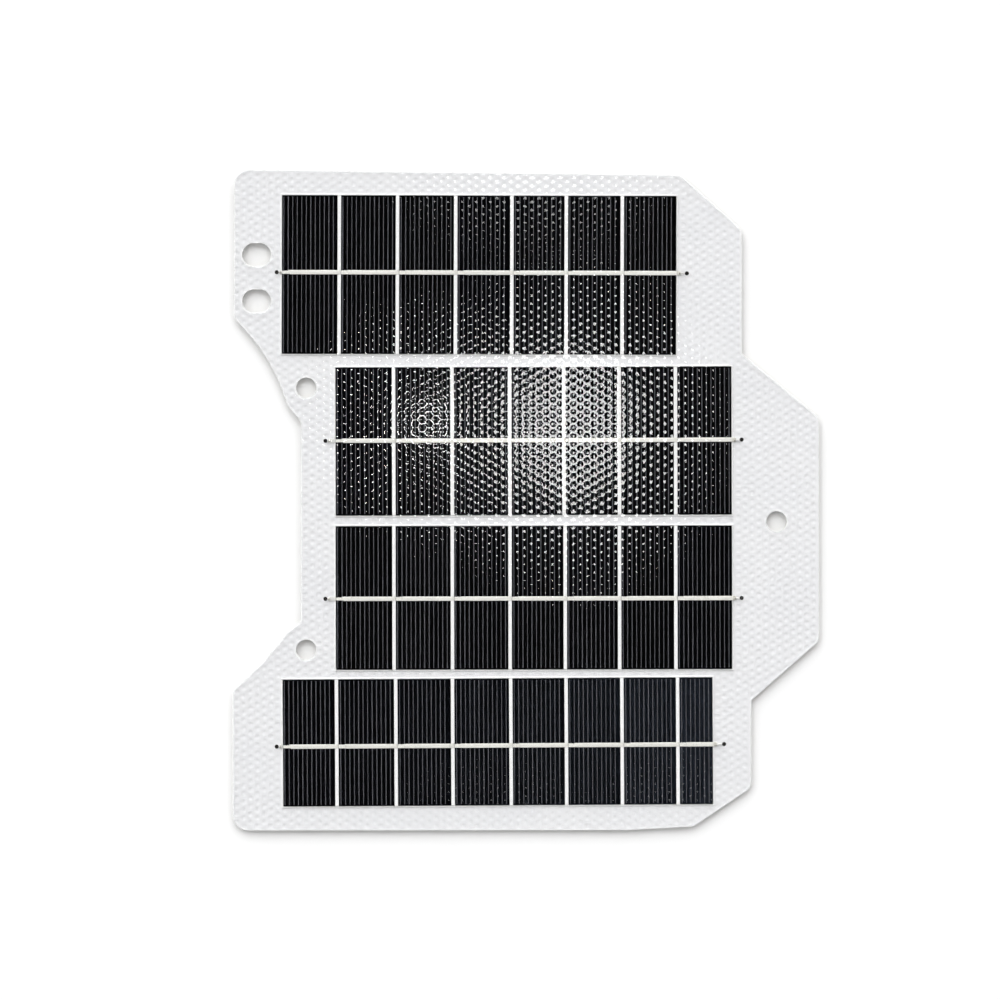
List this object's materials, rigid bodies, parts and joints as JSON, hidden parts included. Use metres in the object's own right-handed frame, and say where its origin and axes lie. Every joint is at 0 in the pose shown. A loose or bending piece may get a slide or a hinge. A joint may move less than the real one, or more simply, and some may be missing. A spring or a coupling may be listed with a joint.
{
  "type": "flexible solar sheet",
  "caption": "Thin laminated solar sheet of an irregular outline, with rows of narrow cells under an embossed clear film, and fixing holes and slots for a housing.",
  "frame": {"origin": "middle of the outline's bounding box, on the rear face", "axes": "+Z out of the front (sun) face, +Y up the sheet, from the four-row end with the narrow last cell to the end with the two slots, +X along the rows towards the lobe with the single hole"},
  "size_m": [0.214, 0.2413, 0.0025],
  "materials": {
    "front_film": "clear fluoropolymer film, embossed all over with a fine honeycomb, glossy",
    "encapsulant": "clear, soft, cross-linked encapsulant",
    "silicon_cell": "near-black antireflective silicon with thin silver finger lines",
    "tinned_ribbon": "tinned copper ribbon, satin, solder coated",
    "lead_wire": "tinned copper wire",
    "solder": "dull solder",
    "output_pad": "tinned copper pad",
    "core_board": "white thin glass-fibre board, matt",
    "rear_film": "white polyester film, satin"
  },
  "bodies": {
    "root": {"bus_ribbon_row1_to_row2": "tinned_ribbon", "bus_ribbon_row2_to_row3": "tinned_ribbon", "bus_ribbon_row3_to_row4": "tinned_ribbon", "cell_row1_col1": "silicon_cell", "cell_row1_col2": "silicon_cell", "cell_row1_col3": "silicon_cell", "cell_row1_col4": "silicon_cell", "cell_row1_col5": "silicon_cell", "cell_row1_col6": "silicon_cell", "cell_row1_col7": "silicon_cell", "cell_row2_col1": "silicon_cell", "cell_row2_col2": "silicon_cell", "cell_row2_col3": "silicon_cell", "cell_row2_col4": "silicon_cell", "cell_row2_col5": "silicon_cell", "cell_row2_col6": "silicon_cell", "cell_row2_col7": "silicon_cell", "cell_row3_col1": "silicon_cell", "cell_row3_col2": "silicon_cell", "cell_row3_col3": "silicon_cell", "cell_row3_col4": "silicon_cell", "cell_row3_col5": "silicon_cell", "cell_row3_col6": "silicon_cell", "cell_row3_col7": "silicon_cell", "cell_row4_col1": "silicon_cell", "cell_row4_col2": "silicon_cell", "cell_row4_col3": "silicon_cell", "cell_row4_col4": "silicon_cell", "cell_row4_col5": "silicon_cell", "cell_row4_col6": "silicon_cell", "cell_row4_col7": "silicon_cell", "cell_row4_col8": "silicon_cell", "core_board": "core_board", "front_encapsulant": "encapsulant", "front_film": "front_film", "left_end_ribbon_row1": "tinned_ribbon", "left_end_ribbon_row2": "tinned_ribbon", "left_end_ribbon_row3": "tinned_ribbon", "left_end_ribbon_row4": "tinned_ribbon", "left_lead_wires": "lead_wire", "middle_encapsulant": "encapsulant", "output_pad_negative": "output_pad", "output_pad_positive": "output_pad", "output_ribbon_negative": "tinned_ribbon", "output_ribbon_positive": "tinned_ribbon", "rear_encapsulant": "encapsulant", "rear_film": "rear_film", "right_end_ribbon_row1": "tinned_ribbon", "right_end_ribbon_row2": "tinned_ribbon", "right_end_ribbon_row3": "tinned_ribbon", "right_end_ribbon_row4": "tinned_ribbon", "right_lead_wires": "lead_wire", "tabbing_ribbons_row1": "tinned_ribbon", "tabbing_ribbons_row2": "tinned_ribbon", "tabbing_ribbons_row3": "tinned_ribbon", "tabbing_ribbons_row4": "tinned_ribbon", "tail_solder_joints": "solder", "wire_hole_solder_joints": "solder"}
  },
  "joints": []
}
